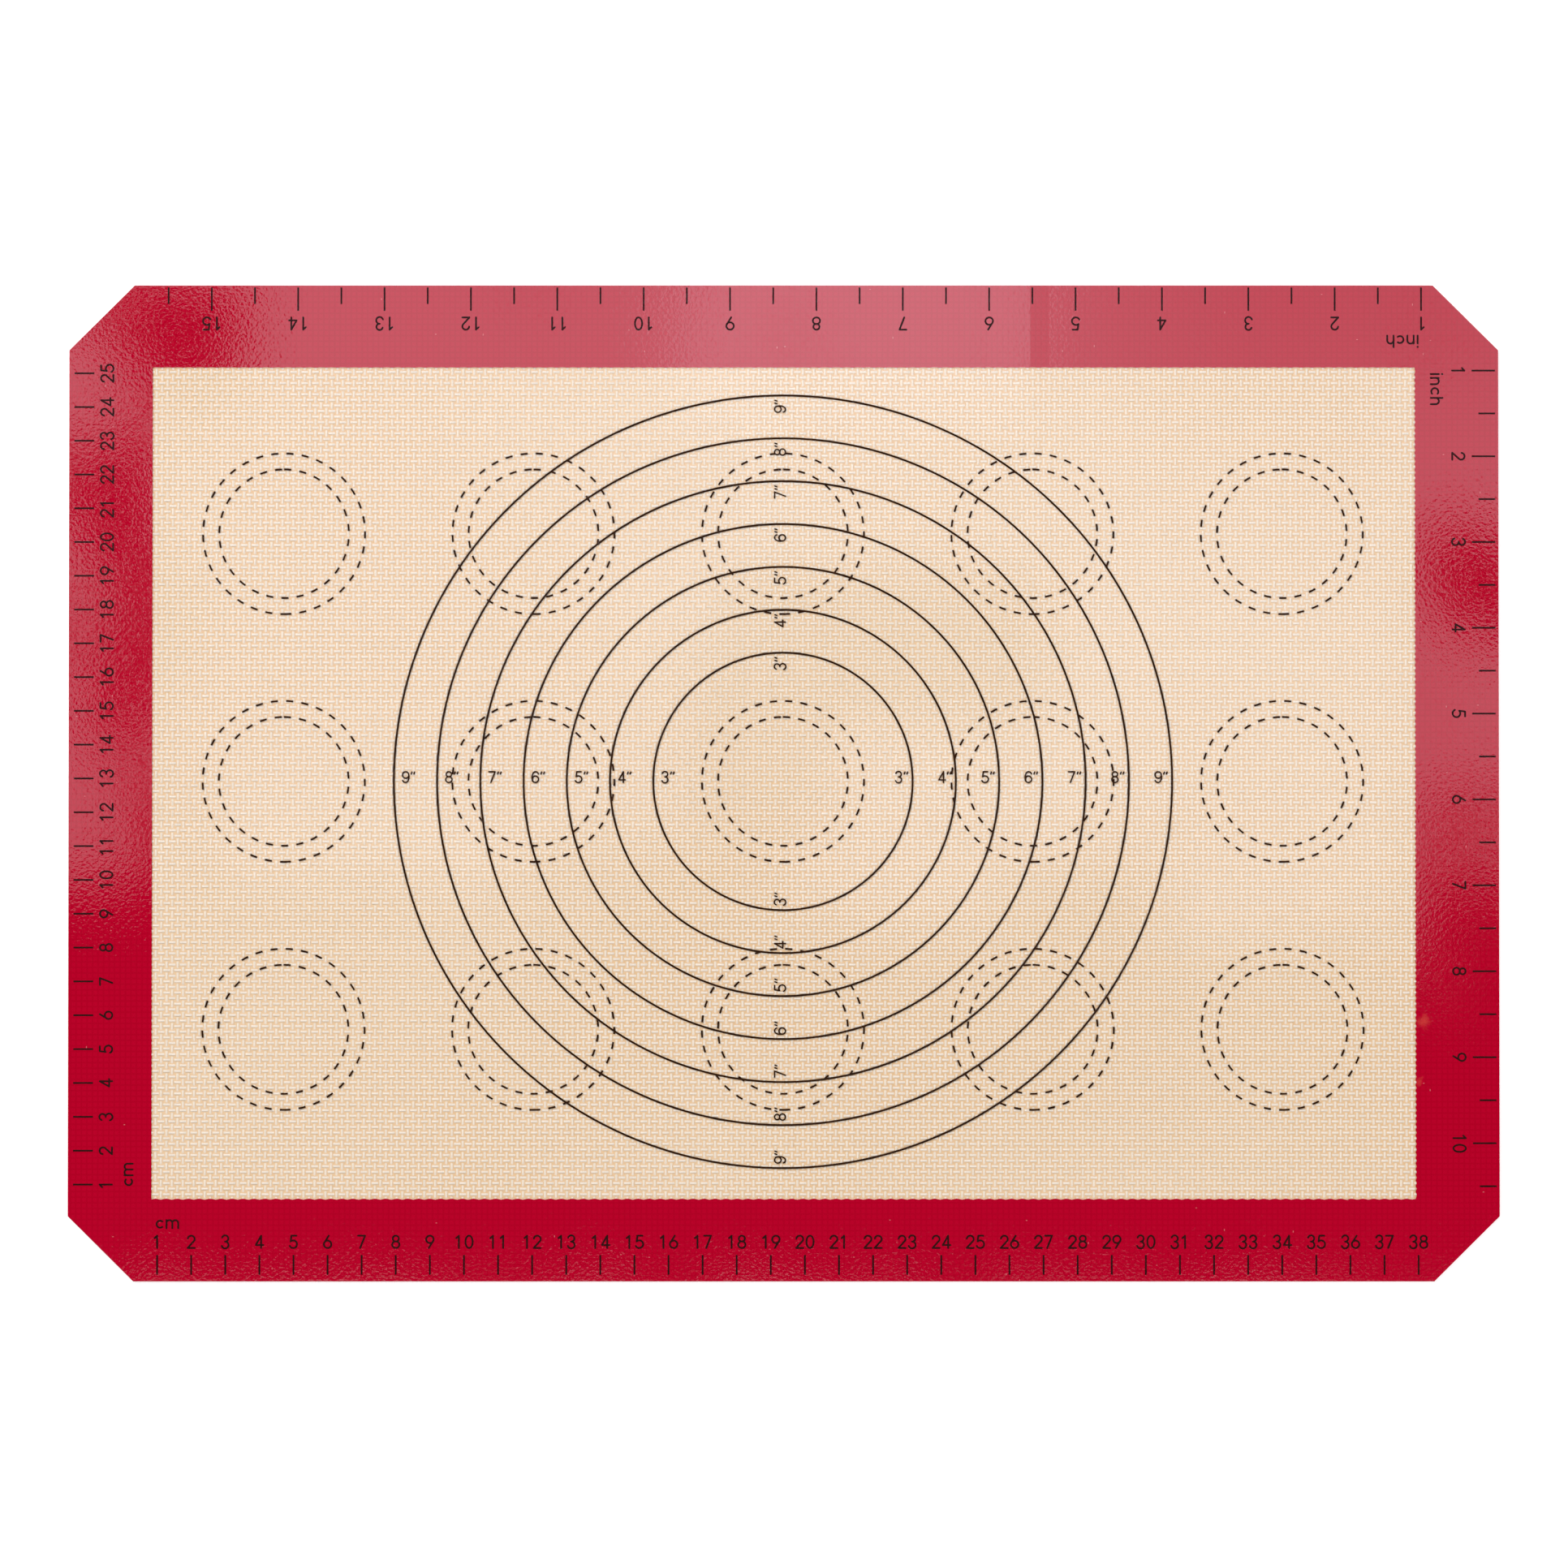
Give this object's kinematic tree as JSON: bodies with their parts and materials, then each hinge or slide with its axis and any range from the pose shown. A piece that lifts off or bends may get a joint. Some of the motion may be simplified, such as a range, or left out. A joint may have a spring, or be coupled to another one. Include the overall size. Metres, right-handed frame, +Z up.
{
  "type": "baking mat",
  "caption": "Flat silicone baking mat with cut corners: woven glass core, red border band, printed centimetre and inch rulers, pastry rings and dashed portion guides.",
  "frame": {"origin": "middle of the sheet on its underside, the face that lies on the tray", "axes": "+Z up out of the printed face; +X along the long side, in the reading direction of the bottom ruler and the rings' upright labels; +Y towards the top ruler"},
  "size_m": [0.42, 0.2944, 0.0008],
  "materials": {
    "clear_silicone": "milky translucent cured silicone, satin, with the cloth's weave showing in relief",
    "glass_cloth": "plain-woven glass yarn, soaked with silicone",
    "red_silicone": "screen-printed glossy red silicone with a fine pebbled grain",
    "black_ink": "screen-printed black silicone ink, satin"
  },
  "bodies": {
    "root": {"bottom_coat": "clear_silicone", "fibreglass_core": "glass_cloth", "top_coat": "clear_silicone", "border_band": "red_silicone", "cm_bottom_numerals": "black_ink", "cm_bottom_ticks": "black_ink", "cm_bottom_unit": "black_ink", "cm_left_numerals": "black_ink", "cm_left_ticks": "black_ink", "cm_left_unit": "black_ink", "guide_row1_column1": "black_ink", "guide_row1_column2": "black_ink", "guide_row1_column3": "black_ink", "guide_row1_column4": "black_ink", "guide_row1_column5": "black_ink", "guide_row2_column1": "black_ink", "guide_row2_column2": "black_ink", "guide_row2_column3": "black_ink", "guide_row2_column4": "black_ink", "guide_row2_column5": "black_ink", "guide_row3_column1": "black_ink", "guide_row3_column2": "black_ink", "guide_row3_column3": "black_ink", "guide_row3_column4": "black_ink", "guide_row3_column5": "black_ink", "inch_right_numerals": "black_ink", "inch_right_ticks": "black_ink", "inch_right_unit": "black_ink", "inch_top_numerals": "black_ink", "inch_top_ticks": "black_ink", "inch_top_unit": "black_ink", "ring_3_inch": "black_ink", "ring_3_labels": "black_ink", "ring_4_inch": "black_ink", "ring_4_labels": "black_ink", "ring_5_inch": "black_ink", "ring_5_labels": "black_ink", "ring_6_inch": "black_ink", "ring_6_labels": "black_ink", "ring_7_inch": "black_ink", "ring_7_labels": "black_ink", "ring_8_inch": "black_ink", "ring_8_labels": "black_ink", "ring_9_inch": "black_ink", "ring_9_labels": "black_ink"}
  },
  "joints": []
}
